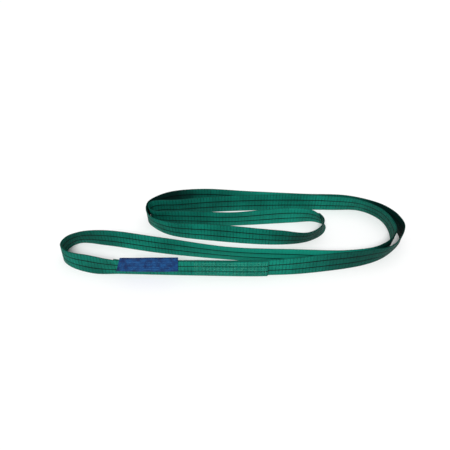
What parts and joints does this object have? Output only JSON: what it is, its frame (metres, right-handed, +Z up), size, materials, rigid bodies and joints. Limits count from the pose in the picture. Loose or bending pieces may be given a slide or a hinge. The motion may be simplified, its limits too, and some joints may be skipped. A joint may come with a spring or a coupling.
{
  "type": "flat web sling",
  "caption": "Endless flat web sling of woven polyester webbing, sewn into one loop and laid in bights on its edge, with a sewn-on label flap.",
  "frame": {"origin": "centre of the laid sling's box, on the surface that it stands on", "axes": "+X along the long bights, towards the right bend and away from the front eye; +Y from the label to the back run; +Z up, across the webbing's width"},
  "size_m": [0.9692, 0.32, 0.0805],
  "materials": {
    "webbing": "ribbed polyester weave",
    "thread": "twisted polyester thread",
    "label": "coated polyester tape",
    "label_thread": "twisted polyester thread"
  },
  "bodies": {
    "sling": {"front_ply": "webbing", "front_eye": "webbing", "middle_run": "webbing", "right_bend_inner": "webbing", "back_run_inner": "webbing", "left_bend_inner": "webbing", "rear_eye_back_leg": "webbing", "rear_eye_tip": "webbing", "rear_eye_front_leg": "webbing", "left_bend_outer": "webbing", "back_run_outer": "webbing", "right_bend_outer": "webbing", "front_run": "webbing", "rear_ply": "webbing", "joint_needle_thread": "thread", "joint_bobbin_thread": "thread", "label_needle_thread": "label_thread", "label_bobbin_thread": "label_thread", "label_sewn_end": "label"},
    "label_tab": {"label_flap": "label"}
  },
  "joints": [
    {"name": "label_fold", "type": "hinge", "parent": "sling", "child": "label_tab", "pos_m": [-0.29133, -0.15312, 0.04536], "axis": [0.0044, 0.1604, -0.987], "range_deg": [0, 120]}
  ]
}
